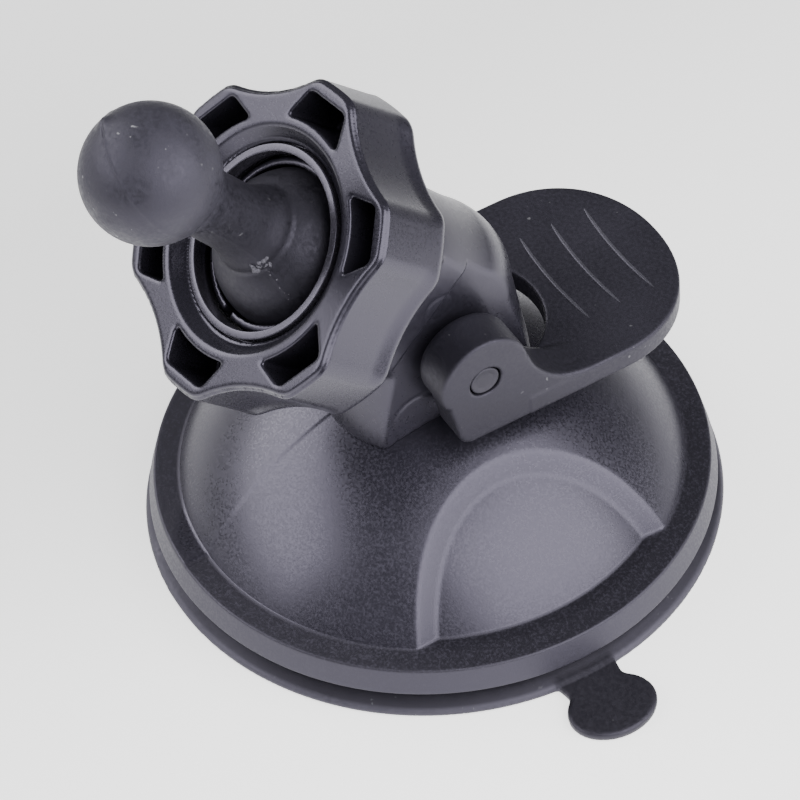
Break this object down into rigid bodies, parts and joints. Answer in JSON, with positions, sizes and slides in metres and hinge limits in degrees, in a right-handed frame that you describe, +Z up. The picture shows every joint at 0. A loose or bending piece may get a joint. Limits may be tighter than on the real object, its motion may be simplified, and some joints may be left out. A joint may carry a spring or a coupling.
{
  "type": "suction cup ball mount",
  "caption": "Suction-cup mount with a locking lever, a leaning neck and a lobed clamp nut that grips a double-ended ball stud.",
  "frame": {"origin": "middle of the suction pad, on the surface that it sticks to", "axes": "+Z up along the neck's column and out of the surface; the socket and ball lean towards -Y; the lever's flap points to +Y; the pull tab is on +X"},
  "size_m": [0.0846, 0.0797, 0.0861],
  "materials": {
    "base_cover": "fine satin grain with a matte rim",
    "neck_arm": "satin",
    "clamp_nut": "satin",
    "pressure_ring": "smooth",
    "ball_stud": "soft matte",
    "lever": "grained top, satin sides",
    "lever_pin": "blackened",
    "plunger": "satin",
    "return_spring": "drawn wire",
    "suction_pad": "soft matte"
  },
  "bodies": {
    "base": {"base_cover": "base_cover", "neck_arm": "neck_arm", "suction_pad": "suction_pad", "return_spring": "return_spring"},
    "plunger": {"plunger": "plunger", "lever_pin": "lever_pin"},
    "lever": {"lever": "lever"},
    "ring": {"pressure_ring": "pressure_ring"},
    "nut": {"clamp_nut": "clamp_nut"},
    "stud": {"ball_stud": "ball_stud"}
  },
  "joints": [
    {"name": "plunger_slide", "type": "slide", "parent": "base", "child": "plunger", "axis": [0, 0, 1], "range_m": [-0.0029, 0], "deforming": ["return_spring", "suction_pad"]},
    {"name": "lever_hinge", "type": "hinge", "parent": "plunger", "child": "lever", "pos_m": [0, 0, 0.0352], "axis": [1, 0, 0], "range_deg": [0, 85]},
    {"name": "ring_slide", "type": "slide", "parent": "base", "child": "ring", "axis": [0, -0.7206, 0.6934], "range_m": [0, 0.0021]},
    {"name": "nut_turn", "type": "hinge", "parent": "ring", "child": "nut", "pos_m": [0, -0.01629, 0.05427], "axis": [0, -0.7206, 0.6934], "range_deg": [0, 360]},
    {"name": "stud_tilt", "type": "hinge", "parent": "base", "child": "stud", "pos_m": [0, -0.01629, 0.05427], "axis": [1, 0, 0], "range_deg": [-23, 40]}
  ],
  "couplings": [
    {"joint": "plunger_slide", "follows": "lever_hinge", "m_per_rad": -0.0019099},
    {"joint": "ring_slide", "follows": "nut_turn", "m_per_rad": 0.00031831}
  ]
}
